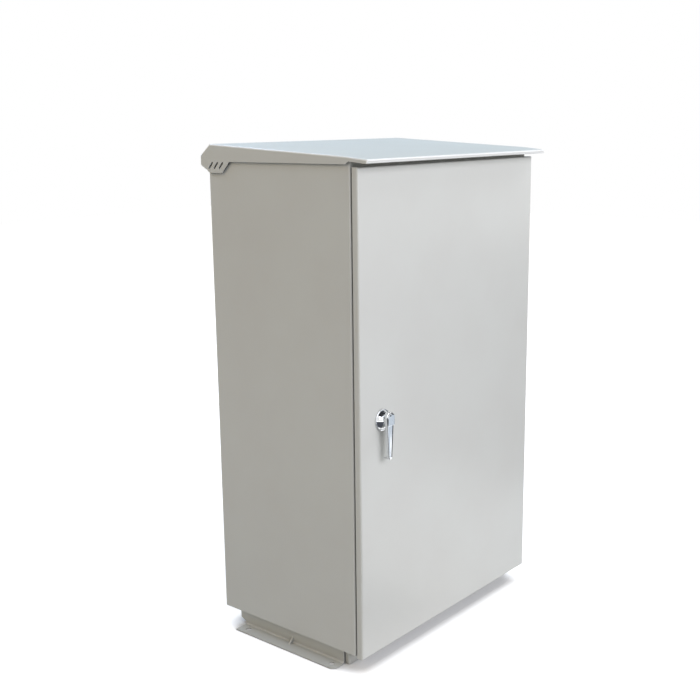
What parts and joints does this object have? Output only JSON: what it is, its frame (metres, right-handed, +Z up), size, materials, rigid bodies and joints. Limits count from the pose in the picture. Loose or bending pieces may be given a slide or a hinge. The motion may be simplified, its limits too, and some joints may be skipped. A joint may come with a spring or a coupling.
{
  "type": "outdoor rack cabinet",
  "caption": "Floor-standing outdoor cabinet of folded sheet with a sloping rain canopy, foot rails, an overlay door with a lever handle, rack rails inside and fans under the top.",
  "frame": {"origin": "on the floor under the middle of the body, at the centre of the anchor holes", "axes": "+Z up, -Y out of the door, +X to the right seen from the front"},
  "size_m": [0.626, 0.433, 1.0329],
  "materials": {
    "powder_coat": "fine-textured powder coat, pebble grey",
    "zinc_plate": "zinc-plated steel, satin",
    "chrome_plate": "chrome-plated zinc casting, polished",
    "black_rubber": "foamed and moulded rubber, matt",
    "black_plastic": "moulded plastic, matt",
    "filter_mat": "fibre filter mat"
  },
  "bodies": {
    "cabinet": {"left_side_panel": "powder_coat", "right_side_panel": "powder_coat", "back_panel": "powder_coat", "top_panel": "powder_coat", "bottom_panel": "powder_coat", "roof_sheet": "powder_coat", "roof_end_left": "powder_coat", "roof_end_right": "powder_coat", "left_foot_rail": "powder_coat", "right_foot_rail": "powder_coat", "front_plinth": "powder_coat", "plinth_flange": "powder_coat", "plinth_end_left": "powder_coat", "plinth_end_right": "powder_coat", "roof_support_front": "zinc_plate", "roof_support_rear": "zinc_plate", "rack_rail_front_left": "zinc_plate", "rack_rail_front_right": "zinc_plate", "rack_rail_rear_left": "zinc_plate", "rack_rail_rear_right": "zinc_plate", "depth_bar_bottom_left": "zinc_plate", "depth_bar_bottom_right": "zinc_plate", "depth_bar_top_left": "zinc_plate", "depth_bar_top_right": "zinc_plate", "hinge_bracket_1": "zinc_plate", "hinge_bracket_2": "zinc_plate", "hinge_bracket_3": "zinc_plate", "hinge_pin_1": "zinc_plate", "hinge_pin_2": "zinc_plate", "hinge_pin_3": "zinc_plate", "fan_guard_left": "zinc_plate", "fan_guard_right": "zinc_plate", "fan_screws": "zinc_plate", "filter_frame": "zinc_plate", "earth_stud": "zinc_plate", "earth_nut": "zinc_plate", "rail_bolts": "zinc_plate", "roof_bolts": "zinc_plate", "foot_bolts": "zinc_plate", "cable_grommet_1": "black_rubber", "cable_grommet_2": "black_rubber", "cable_grommet_3": "black_rubber", "fan_frame_left": "black_plastic", "fan_frame_right": "black_plastic", "inlet_filter": "filter_mat"},
    "door": {"door_skin": "powder_coat", "door_gasket": "black_rubber", "door_stiffener_left": "zinc_plate", "door_stiffener_right": "zinc_plate", "hinge_knuckle_1": "zinc_plate", "hinge_knuckle_2": "zinc_plate", "hinge_knuckle_3": "zinc_plate", "handle_rosette": "chrome_plate", "rosette_nut": "zinc_plate"},
    "handle": {"lever": "chrome_plate", "spindle": "zinc_plate", "latch_cam": "zinc_plate", "cam_screw": "zinc_plate"},
    "key_plug": {"key_plug": "chrome_plate"},
    "key_cover": {"key_cover": "chrome_plate"},
    "fan_left": {"fan_rotor_left": "black_plastic"},
    "fan_right": {"fan_rotor_right": "black_plastic"}
  },
  "joints": [
    {"name": "door_swing", "type": "hinge", "parent": "cabinet", "child": "door", "pos_m": [0.2942, -0.1975, 0.515], "axis": [0, 0, 1], "range_deg": [0, 115]},
    {"name": "handle_turn", "type": "hinge", "parent": "door", "child": "handle", "pos_m": [-0.235, -0.203, 0.514], "axis": [0, -1, 0], "range_deg": [0, 90]},
    {"name": "key_turn", "type": "hinge", "parent": "handle", "child": "key_plug", "pos_m": [-0.235, -0.2215, 0.514], "axis": [0, -1, 0], "range_deg": [0, 90]},
    {"name": "cover_swing", "type": "hinge", "parent": "handle", "child": "key_cover", "pos_m": [-0.235, -0.2255, 0.528], "axis": [0, -1, 0], "range_deg": [0, 120]},
    {"name": "fan_left_spin", "type": "hinge", "parent": "cabinet", "child": "fan_left", "pos_m": [-0.11, 0.05, 0.985], "axis": [0, 0, 1], "continuous": true},
    {"name": "fan_right_spin", "type": "hinge", "parent": "cabinet", "child": "fan_right", "pos_m": [0.11, 0.05, 0.985], "axis": [0, 0, 1], "continuous": true}
  ]
}
